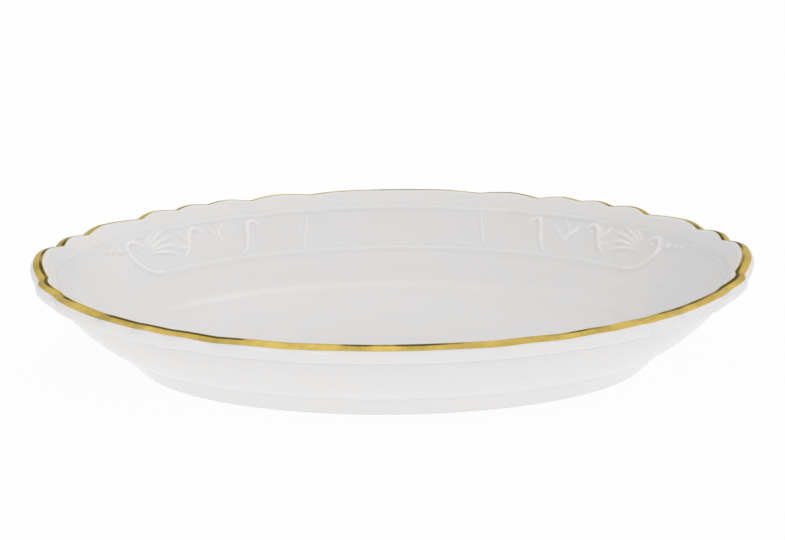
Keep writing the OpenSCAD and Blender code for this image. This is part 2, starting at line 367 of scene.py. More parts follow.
def oval_tree():
    """Wraps points that know their angle, inset, height, pull, lean, lift and spread onto the oval."""
    number = "NodeSocketFloat"
    tree, given, result = open_tree("wrap on the oval", {
        "Length": number, "Width": number, "Notch Depth": number, "Notch Dip": number,
        "Notch Softness": number, "End Rise": number, "Tip Rise": number, "Tip Reach": number,
        "Material": "NodeSocketMaterial"})
    do = partial(count_on, tree)
    angle = named_value(tree, "angle")
    half_turn = do("WRAP", angle, 180.0, 0.0)
    folded = do("MINIMUM", half_turn, do("SUBTRACT", 180.0, half_turn))
    softness = given["Notch Softness"]
    scallop = 0.0
    for k, notch in enumerate(NOTCHES):
        before = notch - NOTCHES[k - 1] if k else 2 * notch
        after = NOTCHES[k + 1] - notch if k < len(NOTCHES) - 1 else 2 * (90 - notch)
        before = NOTCH_SWEEP[k] * min(NOTCH_REACH, before / 2)
        after = min(NOTCH_REACH, after / 2)
        away = do("SUBTRACT", folded, float(notch))
        beyond = do("GREATER_THAN", away, 0.0)
        side = do("MULTIPLY_ADD", beyond, after - before, before)
        square = do("MULTIPLY_ADD", softness, softness, do("MULTIPLY", away, away))
        rounded = do("SUBTRACT", do("SQRT", square), softness)
        close = do("MAXIMUM", do("SUBTRACT", 1.0, do("DIVIDE", rounded, side)), 0.0)
        cut = do("MULTIPLY", do("MULTIPLY", close, close), float(NOTCH_SHARE[k]))
        scallop = do("SMOOTH_MAX", scallop, cut, NOTCH_BLEND) if k else cut
    pulled = do("MULTIPLY", scallop, named_value(tree, "pull"))
    radians = do("RADIANS", angle)
    cosine = do("COSINE", radians)
    sine = do("SINE", radians)
    lift = named_value(tree, "lift")
    inset = do("MULTIPLY_ADD", lift, named_value(tree, "lean_in"), named_value(tree, "inset"))
    inset = do("MULTIPLY_ADD", pulled, given["Notch Depth"], inset)
    height = do("MULTIPLY_ADD", lift, named_value(tree, "lean_up"), named_value(tree, "height"))
    height = do("SUBTRACT", height, do("MULTIPLY", pulled, given["Notch Dip"]))
    to_tip = do("DIVIDE", folded, given["Tip Reach"])
    near_tip = do("MAXIMUM", do("SUBTRACT", 1.0, do("MULTIPLY", to_tip, to_tip)), 0.0)
    end_lift = do("MULTIPLY", do("MULTIPLY", cosine, cosine), given["End Rise"])
    end_lift = do("MULTIPLY_ADD", do("MULTIPLY", near_tip, near_tip), given["Tip Rise"], end_lift)
    height = do("MULTIPLY_ADD", end_lift, named_value(tree, "pull"), height)
    spread = named_value(tree, "spread")
    across = do("SUBTRACT", do("DIVIDE", given["Length"], 2.0), inset)
    deep = do("SUBTRACT", do("DIVIDE", given["Width"], 2.0), inset)
    x = do("MULTIPLY", do("MULTIPLY", across, cosine), do("MULTIPLY", spread, MM))
    y = do("MULTIPLY", do("MULTIPLY", deep, sine), do("MULTIPLY", spread, MM))
    z = do("MULTIPLY", height, MM)
    place = place_node(tree, "ShaderNodeCombineXYZ", {0: x, 1: y, 2: z})
    moved = place_node(tree, "GeometryNodeSetPosition",
                       {"Geometry": given["Geometry"], "Position": place.outputs[0]})
    finish_tree(tree, moved.outputs[0], given["Material"], result)
    return tree


def relief_tree():
    """Raises a flat panel over drawn strokes and over a fan of ribs.

    The value it stores is above 0 beside a stroke, as painted shade that is partly pooled glaze, and below 0
    on its crown, as a painted highlight.
    """
    number = "NodeSocketFloat"
    tree, given, result = open_tree("raise the relief", {
        "Strokes": "NodeSocketObject", "Rib Count": "NodeSocketInt", "Hub": "NodeSocketVector",
        "Rib Length": number, "Rib Breadth": number, "First Rib": number, "Rib Turn": number,
        "Rise": number, "Pool Shade": number, "Softening": "NodeSocketInt", "Material": "NodeSocketMaterial"})
    do = partial(count_on, tree)
    drawn = place_node(tree, "GeometryNodeObjectInfo", {"Object": given["Strokes"]},
                       transform_space="ORIGINAL")
    rib = place_node(tree, "GeometryNodeCurveQuadraticBezier", RIB_CURVE)
    step = place_node(tree, "GeometryNodeSplineParameter")
    swell = do("SINE", do("MULTIPLY_ADD", step.outputs["Factor"], *RIB_SWELL))
    rib_shape = place_node(tree, "GeometryNodeSetCurveRadius",
                           {"Curve": rib.outputs[0], "Radius": do("MULTIPLY", swell, given["Rib Breadth"])})
    places = place_node(tree, "GeometryNodePoints", {"Count": given["Rib Count"], "Position": given["Hub"]})
    number_of_rib = place_node(tree, "GeometryNodeInputIndex").outputs[0]
    turn = do("MULTIPLY_ADD", number_of_rib, given["Rib Turn"], given["First Rib"])
    turned = place_node(tree, "ShaderNodeCombineXYZ", {2: do("RADIANS", turn)})
    stretched = place_node(tree, "ShaderNodeCombineXYZ",
                           {0: given["Rib Length"], 1: given["Rib Length"], 2: 1.0})
    fan = place_node(tree, "GeometryNodeInstanceOnPoints", {
        "Points": places.outputs[0], "Instance": rib_shape.outputs[0], "Rotation": turned.outputs[0],
        "Scale": stretched.outputs[0]})
    fan = place_node(tree, "GeometryNodeRealizeInstances", {"Geometry": fan.outputs[0]})
    joined = tree.nodes.new("GeometryNodeJoinGeometry")
    tree.links.new(drawn.outputs["Geometry"], joined.inputs[0])
    tree.links.new(fan.outputs[0], joined.inputs[0])
    fine = place_node(tree, "GeometryNodeResampleCurve", {"Curve": joined.outputs[0], "Length": STROKE_STEP},
                      mode="LENGTH")
    radius = tree.nodes.new("GeometryNodeInputRadius").outputs[0]
    noted = keep_value(tree, fine.outputs[0], "breadth", radius)
    wires = place_node(tree, "GeometryNodeCurveToMesh", {"Curve": noted})
    near = place_node(tree, "GeometryNodeProximity", {0: wires.outputs[0]}, target_element="EDGES")
    which = place_node(tree, "GeometryNodeSampleNearest", {0: wires.outputs[0]}, domain="POINT")
    breadth = place_node(tree, "GeometryNodeSampleIndex", {0: wires.outputs[0]}, data_type="FLOAT",
                         domain="POINT")
    feed(tree, in_use(breadth.inputs, "Value"), named_value(tree, "breadth"))
    feed(tree, breadth.inputs["Index"], which.outputs[0])
    size = do("MAXIMUM", in_use(breadth.outputs), THINNEST_STROKE)
    share = do("MINIMUM", do("DIVIDE", near.outputs["Distance"], size), 1.0)
    crown = do("MULTIPLY_ADD", do("COSINE", do("MULTIPLY", share, math.pi)), 0.5, 0.5)
    bump = do("MULTIPLY", do("MULTIPLY", crown, size), given["Rise"])
    # Painted shade beside each stroke, partly pooled glaze, and a painted highlight on its crown
    beside = do("ABSOLUTE", do("SUBTRACT", near.outputs["Distance"], do("MULTIPLY", size, POOL_SHADE_PLACE)))
    pool = do("MAXIMUM", do("SUBTRACT", 1.0, do("DIVIDE", beside, POOL_SHADE_REACH)), 0.0)
    pool = do("SUBTRACT", do("MULTIPLY", pool, given["Pool Shade"]), crown)
    soft = place_node(tree, "GeometryNodeBlurAttribute", {"Iterations": given["Softening"]},
                      data_type="FLOAT")
    feed(tree, in_use(soft.inputs, "Value"), bump)
    lifted = do("ADD", in_use(soft.outputs), named_value(tree, "lift"))
    kept = keep_value(tree, given["Geometry"], "lift", lifted)
    kept = keep_value(tree, kept, "pool", pool)
    finish_tree(tree, kept, given["Material"], result)
    return tree


# ---- meshes that are laid out flat and then wrapped ----

# What a point of the surface knows, and all that a laid out point knows
PROFILE_VALUES = ("inset", "height", "pull", "lean_in", "lean_up")
POINT_VALUES = ("angle", *PROFILE_VALUES, "lift", "spread", "pool")


def lay_out(name, columns, faces):
    """A mesh whose points carry the named columns of values, each a number per point."""
    count = len(columns["angle"])
    mesh = bpy.data.meshes.new(name)
    flat = np.zeros((count, 3))
    flat[:, 0] = columns.get("flat_x", columns["angle"])
    flat[:, 1] = columns.get("flat_y", columns["inset"])
    mesh.from_pydata(flat.tolist(), [], faces)
    usual = {"spread": 1.0, "lift": 0.0, "lean_in": 0.0, "lean_up": 0.0, "pool": 0.0}
    for key in POINT_VALUES:
        values = np.broadcast_to(np.asarray(columns.get(key, usual.get(key)), np.float32), (count,))
        mesh.attributes.new(key, "FLOAT", "POINT").data.foreach_set("value", np.ascontiguousarray(values))
    return mesh


def grid_faces(rows, cols, close_rows, close_cols, start=0):
    """Quads between rows of points that may close on themselves either way."""
    faces = []
    for r in range(rows if close_rows else rows - 1):
        s = (r + 1) % rows
        for c in range(cols if close_cols else cols - 1):
            d = (c + 1) % cols
            quad = (r * cols + c, r * cols + d, s * cols + d, s * cols + c)
            faces.append(tuple(start + corner for corner in quad))
    return faces


def spread_rows(rows, angles):
    """Columns of values for rows that hold all but the angle, repeated at every angle."""
    rows = np.asarray(rows, float)
    columns = {key: np.repeat(rows[:, k], len(angles)) for k, key in enumerate(POINT_VALUES[1:])}
    columns["angle"] = np.tile(angles, len(rows))
    return columns


def row_of(values, lift=0.0, spread=1.0, pool=0.0):
    """A row from the values of a point of the surface."""
    return [*values, lift, spread, pool]


def plain_row(inset, height, spread=1.0, pull=0.0, pool=0.0):
    """A row that isn't raised. Its spread draws it in towards the middle of the platter."""
    return row_of([inset, height, pull, 0, 0], spread=spread, pool=pool)


OVAL = oval_tree()
SHAPE = {"Length": LENGTH, "Width": WIDTH, "Notch Depth": NOTCH_DEPTH, "Notch Dip": NOTCH_DIP,
         "Notch Softness": NOTCH_SOFTNESS, "End Rise": END_RISE, "Tip Rise": TIP_RISE,
         "Tip Reach": TIP_REACH}
AROUND = np.arange(STATIONS) * 360 / STATIONS
# Edges that turn more than this many degrees stay sharp
SHARP_ANGLE = 42


def wrap(name, columns, faces, material, node):
    """Wraps a laid out mesh onto the oval, sees that it faces outwards, and hands it to the frame."""
    mesh = grow(name, lay_out(name, columns, faces), OVAL, {**SHAPE, "Material": material})
    corners = np.zeros(len(mesh.vertices) * 3, np.float32)
    mesh.vertices.foreach_get("co", corners)
    corners = corners.reshape(-1, 3).astype(float)
    mesh.calc_loop_triangles()
    ids = np.zeros(len(mesh.loop_triangles) * 3, np.int32)
    mesh.loop_triangles.foreach_get("vertices", ids)
    a, b, c = (corners[ids.reshape(-1, 3)[:, k]] for k in range(3))
    if np.einsum("ij,ij->i", a, np.cross(b, c)).sum() < 0:
        mesh.flip_normals()
    for key in POINT_VALUES[:-1]:
        if key in mesh.attributes:
            mesh.attributes.remove(mesh.attributes[key])
    mesh.shade_smooth()
    mesh.set_sharp_from_angle(angle=math.radians(SHARP_ANGLE))
    piece = put(name, mesh)
    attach(piece, "root")
    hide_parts(node)
    return piece


# ---- finishes ----

# Each cloud of soft noise as features per metre, detail and, if it isn't the usual, roughness
TONE_PATCHES = (22.0, 3.0)
COAT_PATCHES = (35.0, 4.0, 0.6)
RIPPLES = (60.0, 1.0)
FINE_GRAIN = (900.0, 2.0)
EDGE_WAVER = (180.0, 3.0)
CLAY_GRAIN = (700.0, 3.0)
BRUSH_STROKES = (55.0, 4.0, 0.6)
GOLD_FLECKS = (1500.0, 2.0)
# Patches along the rim where the painted dark reflection on the gold is stronger
DARK_REFLECTION_PATCHES = (28.0, 3.0)
BRUSH_MARKS = (420.0, 3.0)
# Specks per metre each way, their size in their cell, the share of cells that has one and its strength
SPECK_SCALE = 95.0
SPECK_SIZE = 0.022
SPECK_SHARE = 0.03
SPECK_TINT = 0.6
# Unevenness of the glaze, and of the height at which it is wiped off the foot
RIPPLE_DEPTH = 0.12
GRAIN_SHARE = 0.012
WAVER_DEPTH = 0.5
WIPED_FADE = 0.15
# Unevenness of the gold
FLECK_SHARE = 0.25
STROKE_SHARE = 0.85
MARK_DEPTH = 0.04
# Extra roughness under the painted dark reflection on the gold
DARK_REFLECTION_DULLNESS = 0.12
# How much painted shade, partly pooled glaze, greys hollows and how much a painted highlight whitens crowns,
# and how strongly bare clay and glaze shine
POOL_SHADE_TINT = 0.16
CROWN_HIGHLIGHT_TINT = 0.7
CLAY_SHINE = 0.3
COAT_WEIGHT = 0.7
# Roughness between these two, where the clouds are lowest and highest
COAT_ROUGHNESS = (0.07, 0.13)
GOLD_ROUGHNESS = (0.42, 0.54)
# Height up to which the foot's edge is bare
BARE_EDGE = 0.45

CHINA_WARM = (0.800, 0.785, 0.775, 1)
CHINA_COOL = (0.790, 0.785, 0.785, 1)
# Grey of the painted shade in hollows, partly pooled glaze
CHINA_POOL_SHADE = (0.700, 0.695, 0.695, 1)
# White of the painted highlight on crowns
CHINA_HIGHLIGHT = (0.900, 0.885, 0.875, 1)
CHINA_SPECK = (0.33, 0.30, 0.27, 1)
BISQUE_LIGHT = (0.72, 0.69, 0.64, 1)
BISQUE_DARK = (0.62, 0.58, 0.52, 1)
GOLD_BRIGHT = (0.90, 0.68, 0.18, 1)
GOLD_DEEP = (0.56, 0.415, 0.10, 1)
# Brown of the painted dark reflection along the inner edge of the gold
GOLD_DARK_REFLECTION = (0.15, 0.105, 0.03, 1)


def emptied(owner):
    """The node tree of a material or a world, with nothing in it."""
    owner.use_nodes = True
    owner.node_tree.nodes.clear()
    return owner.node_tree


def shader(name):
    """A new material with its shader node."""
    material = bpy.data.materials.new(name)
    tree = emptied(material)
    base = tree.nodes.new("ShaderNodeBsdfPrincipled")
    end = tree.nodes.new("ShaderNodeOutputMaterial")
    tree.links.new(base.outputs[0], end.inputs["Surface"])
    return material, tree, base


def cloud(tree, where, scale, detail=2.0, rough=0.5):
    """Soft noise between 0 and 1, with scale in features per metre."""
    node = place_node(tree, "ShaderNodeTexNoise", {"Vector": where, "Scale": scale, "Detail": detail,
                                                   "Roughness": rough})
    return node.outputs[0]


def between(tree, value, low, high, out_low=0.0, out_high=1.0):
    """Maps a value from one range to another, kept inside the second."""
    node = place_node(tree, "ShaderNodeMapRange", {"Value": value, "From Min": low, "From Max": high,
                                                   "To Min": out_low, "To Max": out_high})
    return node.outputs[0]


def blend_colours(tree, share, a, b):
    """Blends from colour a to colour b by a share."""
    node = place_node(tree, "ShaderNodeMix", data_type="RGBA")
    for name, value in (("Factor", share), ("A", a), ("B", b)):
        feed(tree, in_use(node.inputs, name), value)
    return in_use(node.outputs)


def porcelain(name, bare_below=None):
    """White glazed china. Its hollows are greyed by painted shade, partly pooled glaze, its crowns are
    whitened by a painted highlight, and glaze is wiped off the standing edge.
    """
    material, tree, base = shader(name)
    do = partial(count_on, tree)
    where = tree.nodes.new("ShaderNodeTexCoord").outputs["Object"]
    pool = place_node(tree, "ShaderNodeAttribute", attribute_name="pool").outputs["Fac"]
    patches = cloud(tree, where, *TONE_PATCHES)
    white = blend_colours(tree, between(tree, patches, 0.35, 0.65), CHINA_WARM, CHINA_COOL)
    # Painted shade, partly pooled glaze, greys the hollows, and a painted highlight whitens the crowns
    shaded_and_lit = blend_colours(tree, do("MULTIPLY", do("MAXIMUM", pool, 0.0), POOL_SHADE_TINT), white, CHINA_POOL_SHADE)
    crown = do("MAXIMUM", do("MULTIPLY", pool, -1.0), 0.0)
    shaded_and_lit = blend_colours(tree, do("MULTIPLY", crown, CROWN_HIGHLIGHT_TINT), shaded_and_lit, CHINA_HIGHLIGHT)
    grains = place_node(tree, "ShaderNodeTexVoronoi", {"Vector": where, "Scale": SPECK_SCALE})
    chosen = place_node(tree, "ShaderNodeSeparateColor", {0: grains.outputs["Color"]})
    speck = do("MULTIPLY", do("LESS_THAN", grains.outputs["Distance"], SPECK_SIZE),
               do("GREATER_THAN", chosen.outputs[0], 1 - SPECK_SHARE))
    colour = blend_colours(tree, do("MULTIPLY", speck, SPECK_TINT), shaded_and_lit, CHINA_SPECK)
    surface = do("MULTIPLY_ADD", cloud(tree, where, *FINE_GRAIN), GRAIN_SHARE, cloud(tree, where, *RIPPLES))
    bump = place_node(tree, "ShaderNodeBump",
                      {"Height": surface, "Distance": RIPPLE_DEPTH * MM, "Strength": 1.0})
    gloss = between(tree, cloud(tree, where, *COAT_PATCHES), 0.3, 0.75, *COAT_ROUGHNESS)
    if bare_below is not None:
        height = place_node(tree, "ShaderNodeSeparateXYZ", {0: where}).outputs[2]
        edge = do("MULTIPLY_ADD", cloud(tree, where, *EDGE_WAVER), WAVER_DEPTH * MM, bare_below * MM)
        bare = between(tree, do("SUBTRACT", edge, height), 0.0, WIPED_FADE * MM)
        clay = blend_colours(tree, cloud(tree, where, *CLAY_GRAIN), BISQUE_LIGHT, BISQUE_DARK)
        colour = blend_colours(tree, bare, colour, clay)
        glazed = do("SUBTRACT", 1.0, bare)
        tree.links.new(do("MULTIPLY", bare, CLAY_SHINE), base.inputs["Specular IOR Level"])
        tree.links.new(do("MULTIPLY", glazed, COAT_WEIGHT), base.inputs["Coat Weight"])
    else:
        base.inputs["Specular IOR Level"].default_value = 0.0
        base.inputs["Coat Weight"].default_value = COAT_WEIGHT
    tree.links.new(colour, base.inputs["Base Color"])
    tree.links.new(gloss, base.inputs["Coat Roughness"])
    tree.links.new(bump.outputs[0], base.inputs["Normal"])
    tree.links.new(bump.outputs[0], base.inputs["Coat Normal"])
    base.inputs["Roughness"].default_value = 0.42
    base.inputs["IOR"].default_value = 1.46
    base.inputs["Coat IOR"].default_value = 1.5
    base.inputs["Subsurface Weight"].default_value = 0.22
    base.inputs["Subsurface Radius"].default_value = (1.0, 0.85, 0.75)
    base.inputs["Subsurface Scale"].default_value = 1.1 * MM
    return material


def gilding(name):
    """Burnished gold laid on with a brush. Along its inner edge a painted dark reflection browns it, in
    patches.
    """
    material, tree, base = shader(name)
    do = partial(count_on, tree)
    where = tree.nodes.new("ShaderNodeTexCoord").outputs["Object"]
    strokes = do("MULTIPLY", cloud(tree, where, *BRUSH_STROKES), STROKE_SHARE)
    worn = do("MULTIPLY_ADD", cloud(tree, where, *GOLD_FLECKS), FLECK_SHARE, strokes)
    colour = blend_colours(tree, between(tree, worn, 0.4, 0.72), GOLD_BRIGHT, GOLD_DEEP)
    # Painted dark reflection along the inner edge of the gold, in patches
    edge = place_node(tree, "ShaderNodeAttribute", attribute_name="pool").outputs["Fac"]
    patchy = between(tree, cloud(tree, where, *DARK_REFLECTION_PATCHES), 0.42, 0.57, 0.15, 1.0)
    dark_reflection = between(tree, do("MULTIPLY", edge, patchy), 0.15, 0.6)
    colour = blend_colours(tree, dark_reflection, colour, GOLD_DARK_REFLECTION)
    tree.links.new(colour, base.inputs["Base Color"])
    polish = between(tree, worn, 0.35, 0.75, *GOLD_ROUGHNESS)
    tree.links.new(do("MULTIPLY_ADD", dark_reflection, DARK_REFLECTION_DULLNESS, polish), base.inputs["Roughness"])
    marks = cloud(tree, where, *BRUSH_MARKS)
    bump = place_node(tree, "ShaderNodeBump",
                      {"Height": marks, "Distance": MARK_DEPTH * MM, "Strength": 0.8})
    tree.links.new(bump.outputs[0], base.inputs["Normal"])
    base.inputs["Metallic"].default_value = 1.0
    return material


GLAZED = porcelain("glazed china")
GLAZED_FOOT = porcelain("glazed china with a bare edge", bare_below=BARE_EDGE)
GOLD = gilding("burnished gold")


# ---- shell ----

# The edge of the recess under the floor, and the hidden faces where shell and foot are bedded in each other
UNDER_EDGE = vec(STAND_INSET + STAND_WIDTH + 4, RECESS)
BEDDING = [outside(SHELL_END) + 2.2 * INWARD, vec(FOOT_INSET + 3, FOOT_HEIGHT + 0.6),
           vec(STAND_INSET - 2, RECESS + 2.4), UNDER_EDGE + vec(0, 2)]
FLOOR_RINGS = 22
UNDER_RINGS = 12
# The widest step and the sharpest turn between two rows of the shell and of the foot
SHELL_STEP = 1.7
SHELL_TURN = 5
FOOT_STEP = 1.3
FOOT_TURN = 6
# How dark the painted shade in the two creases of the outer wall is, and how far that reaches
CREASE_SHADE = 4.0
UPPER_CREASE_REACH = 1.2
LOWER_CREASE_REACH = 1.3


def hollow(distance, centre, reach):
    """Share of a hollow's depth at a distance from its centre."""
    return math.exp(-((distance - centre) / reach) ** 2)


def creased_rows(run, crease, reach, step, turn):
    """Rows along a run of the profile, with painted shade in its crease."""
    far = along(run)
    middle = far[np.argmin(np.hypot(*(run[:, :2] - crease).T))]
    rows = []
    for k in thin(run, step, math.radians(turn)):
        inset, height, pull = run[k, :3]
        # Painted shade darkens the rows round the crease
        rows.append(plain_row(inset, height, pull=pull, pool=CREASE_SHADE * hollow(far[k], middle, reach)))
    return rows


def shell():
    """The dish from the middle of its floor over the rim to the foot, and its hidden underside."""
    rows = [plain_row(*FLOOR_EDGE, spread=k / (FLOOR_RINGS + 1)) for k in range(1, FLOOR_RINGS + 1)]
    rows += creased_rows(SURFACE, CREASE_HIGH, UPPER_CREASE_REACH, SHELL_STEP, SHELL_TURN)
    rows += [plain_row(*p) for p in BEDDING]
    rows.append(plain_row(*UNDER_EDGE))
    rows += [plain_row(*UNDER_EDGE, spread=1 - k / (UNDER_RINGS + 1)) for k in range(1, UNDER_RINGS + 1)]
    columns = spread_rows(rows, AROUND)
    last = len(rows) * STATIONS
    for key in columns:
        poles = [FLOOR_TOP, RECESS] if key == "height" else [0, 0]
        columns[key] = np.concatenate([columns[key], poles])
    faces = grid_faces(len(rows), STATIONS, False, True)
    top = len(rows) - 1
    for c in range(STATIONS):
        d = (c + 1) % STATIONS
        faces.append((d, c, last))
        faces.append((top * STATIONS + c, top * STATIONS + d, last + 1))
    return wrap("shell", columns, faces, GLAZED, "body")


def foot():
    """The foot with the last of the outer wall above it, so that their crease is one smooth hollow."""
    stand_out = vec(STAND_INSET, 0)
    stand_in = stand_out + vec(STAND_WIDTH, 0)
    face = CREASE_LOW - stand_out
    points = [outside(u) for u in np.linspace(SHELL_END, 1, 12)]
    points += bend(CREASE_LOW, stand_out + 0.5 * face + vec(1.2, -0.8), stand_out + vec(-0.5, 0.6), 14)[1:]
    points += [stand_out + vec(0.5, 0), stand_in + vec(-0.5, 0), stand_in + vec(0.1, 0.7)]
    points += bend(stand_in + vec(0.6, 2.6), vec(stand_in[0] + 1.1, RECESS), UNDER_EDGE, 14)
    fine = even(np.array([with_pull(p, 0) for p in points]), FINE_STEP)
    fine = soften(fine, FOOT_SOFTNESS, FINE_STEP)
    fine[:, 1] = np.maximum(fine[:, 1], 0)
    rows = creased_rows(fine, CREASE_LOW, LOWER_CREASE_REACH, FOOT_STEP, FOOT_TURN)
    rows += [plain_row(*p) for p in reversed(BEDDING)]
    faces = grid_faces(len(rows), STATIONS, True, True)
    return wrap("foot", spread_rows(rows, AROUND), faces, GLAZED_FOOT, "foot_ring")


# ---- lines ----

# How far the edge of a line stands above the wall, and how deep its hidden side lies
SKIRT = 0.03
LINE_DEPTH = 0.5
# Tint of a line: how much painted shade, partly pooled glaze, greys its edges, and how much a painted
# highlight lightens its crest
LINE_EDGE_SHADE = 0.3
LINE_CREST_HIGHLIGHT = 0.55

# The bead line, whose rise is whole where the sine of the angle is above BEAD_FROM + BEAD_FADE
BEAD_RISE = 0.33
BEAD_AT_TIPS = 0.12
BEAD_FROM = 0.45
BEAD_FADE = 0.4

# The border lines, with the angle at which they start and the angle over which they thin out
BORDER_RISE = 0.32
BORDER_START = 35.5
BORDER_FADE = 4
BORDER_POINTS = 260


def ridge_rows(start, end, crest_at, rise, count):
    """Rows of a raised line between two distances along the surface, closed beneath the wall."""
    rows = []
    for k in range(count):
        far = k / (count - 1)
        warped = far ** (math.log(0.5) / math.log(crest_at))
        lift = SKIRT + rise * (0.5 - 0.5 * math.cos(2 * math.pi * warped)) ** 0.8
        crown = math.sin(math.pi * far)
        where = start + (end - start) * far
        # Painted shade at the line's edges and a painted highlight on its crest
        rows.append(row_of(surface_at(where), lift=lift, pool=LINE_EDGE_SHADE - LINE_CREST_HIGHLIGHT * crown))
    rows.append(row_of(surface_at(end), lift=-LINE_DEPTH))
    rows.append(row_of(surface_at(start), lift=-LINE_DEPTH))
    return rows


def at_sides(angles):
    """Share of the bead line's rise: whole along the two sides, and a little towards the two tips."""
    whole = np.clip((np.abs(np.sin(np.radians(angles))) - BEAD_FROM) / BEAD_FADE, 0, 1)
    return BEAD_AT_TIPS + (1 - BEAD_AT_TIPS) * whole


def flatten(columns, share):
    """Scales what stands above the skirt of a line, and its painted shade and highlight, by a share for
    every point.
    """
    raised = columns["lift"] > SKIRT
    columns["lift"] = np.where(raised, SKIRT + (columns["lift"] - SKIRT) * share, columns["lift"])
    columns["pool"] = columns["pool"] * share


def bead_line():
    """The bead line inside the rim, all the way round."""
    start = float(distance_of_share(BEAD_PLACE - 0.015))
    end = float(distance_of_share(BEAD_PLACE + 0.07))
    rows = ridge_rows(start, end, 0.5, BEAD_RISE, 15)
    columns = spread_rows(rows, AROUND)
    flatten(columns, np.tile(at_sides(AROUND), len(rows)))
    faces = grid_faces(len(rows), STATIONS, True, True)
    return wrap("bead_line", columns, faces, GLAZED, "rim_bead")


def side_borders():
    """The two long border lines in one piece, thinning out to nothing at their ends."""
    start = float(distance_of_share(BORDER_PLACE - 0.045))
    end = float(distance_of_share(BORDER_PLACE + 0.05))
    rows = ridge_rows(start, end, 0.42, BORDER_RISE, 13)
    angles = np.linspace(BORDER_START, 180 - BORDER_START, BORDER_POINTS)
    fade = np.clip(np.minimum(angles - angles[0], angles[-1] - angles) / BORDER_FADE, 0, 1) ** 0.7
    halves = []
    faces = []
    for side in range(2):
        columns = spread_rows(rows, angles + 180 * side)
        flatten(columns, np.tile(fade, len(rows)))
        halves.append(columns)
        first = side * len(rows) * BORDER_POINTS
        faces += grid_faces(len(rows), BORDER_POINTS, True, False, first)
        cap = [first + r * BORDER_POINTS for r in range(len(rows))]
        faces.append(tuple(cap))
        faces.append(tuple(corner + BORDER_POINTS - 1 for corner in reversed(cap)))
    both = {key: np.concatenate([half[key] for half in halves]) for key in halves[0]}
    return wrap("side_borders", both, faces, GLAZED, "side_border")


# The gold: rows across it, how far it starts inside the crest, and how deep its hidden side lies
GOLD_ROWS = 9
GOLD_START = 0.35
GOLD_DEPTH = 0.2
# The row at which the painted dark reflection on the gold is darkest, and how many rows that reaches
DARK_REFLECTION_ROW = 1.7
DARK_REFLECTION_ROWS = 1.3
# The waves round the rim that make up the wander of its edges
WANDER_WAVES = range(3, 60)


def gold_line():
    """Gold on the crown of the lip, with edges that wander as a hand-held brush leaves them."""
    chance = np.random.default_rng(11)
    inner = SURFACE_ALONG[RIM_TOP] - GOLD_START
    outer = float(SURFACE_ALONG[RIM_TOP + int(np.argmax(SURFACE[RIM_TOP:, 0] < GOLD_EDGE[0]))])
    turn = np.radians(AROUND)
    wander = []
    for _ in range(2):
        line = sum(chance.normal() / k ** 0.6 * np.sin(k * turn + chance.uniform(0, 6.3))
                   for k in WANDER_WAVES)
        wander.append(GOLD_WANDER * line / np.abs(line).max())
    shares = [*np.linspace(0, 1, GOLD_ROWS), 1, 0]
    starts = inner + wander[0]
    ends = outer + wander[1]
    values = np.vstack([surface_at(starts + (ends - starts) * share) for share in shares])
    columns = {key: values[:, k] for k, key in enumerate(PROFILE_VALUES)}
    columns["lift"] = np.repeat([GOLD_LIFT] * GOLD_ROWS + [-GOLD_DEPTH] * 2, STATIONS)
    columns["angle"] = np.tile(AROUND, len(shares))
    # Painted dark reflection, strongest on the inner rows of the gold
    dark_reflection_strengths = [hollow(k, DARK_REFLECTION_ROW, DARK_REFLECTION_ROWS) for k in range(GOLD_ROWS)] + [0, 0]
    columns["pool"] = np.repeat(dark_reflection_strengths, STATIONS)
    faces = grid_faces(len(shares), STATIONS, True, True)
    return wrap("gold_line", columns, faces, GOLD, "gold_rim_line")


# ---- relief cartouches ----

# Strokes of one quarter as [angle, share, half breadth]; share is 0 at the bead line and 1 at the border
PANEL_FROM = 20.5
PANEL_TO = 77.0
PANEL_TOP = 0.06
PANEL_LOW = 1.14
STROKES = [
    [[34.6, 0.3, 0.8], [33.8, 0.2, 1.5], [32.4, 0.16, 2.0], [31.1, 0.21, 2.2], [30.5, 0.36, 2.3],
     [30.8, 0.56, 2.3], [32.0, 0.77, 2.2], [34.0, 0.94, 2.0], [36.8, 1.01, 1.7]],
    [[50.6, 0.28, 0.8], [49.8, 0.18, 1.5], [48.5, 0.16, 2.0], [47.4, 0.27, 2.4], [46.8, 0.45, 2.3],
     [45.9, 0.62, 1.8], [44.5, 0.74, 0.9]],
    [[63.1, 0.27, 0.8], [62.3, 0.18, 1.3], [61.2, 0.17, 1.7], [60.5, 0.32, 2.0], [60.0, 0.56, 2.0],
     [59.1, 0.79, 1.5], [57.8, 0.93, 0.7]],
    [[73.1, 0.13, 0.6], [72.8, 0.34, 1.1], [72.1, 0.64, 1.1], [71.2, 0.92, 0.6]],
    [[55.8, 0.14, 0.6], [54.6, 0.26, 1.1], [54.1, 0.43, 1.2], [55.0, 0.6, 0.6]],
    [[52.4, 0.17, 0.5], [52.9, 0.31, 1.0], [54.0, 0.44, 0.6]],
    [[57.4, 0.28, 0.5], [56.4, 0.42, 0.9], [55.1, 0.57, 0.5]],
    [[44.9, 0.13, 0.6], [45.6, 0.28, 1.3], [46.8, 0.42, 0.8]],
    [[44.0, 0.5, 0.5], [45.2, 0.55, 1.1], [46.6, 0.5, 0.6]],
]
PEARLS = [[28.3, 0.28, 2.4], [25.9, 0.22, 2.1], [23.9, 0.17, 1.7], [49.4, 0.34, 1.3], [33.2, 0.33, 1.4]]
# Half the length of the short stroke that a pearl is drawn with
PEARL_REACH = 0.15
RELIEF_RISE = 0.55
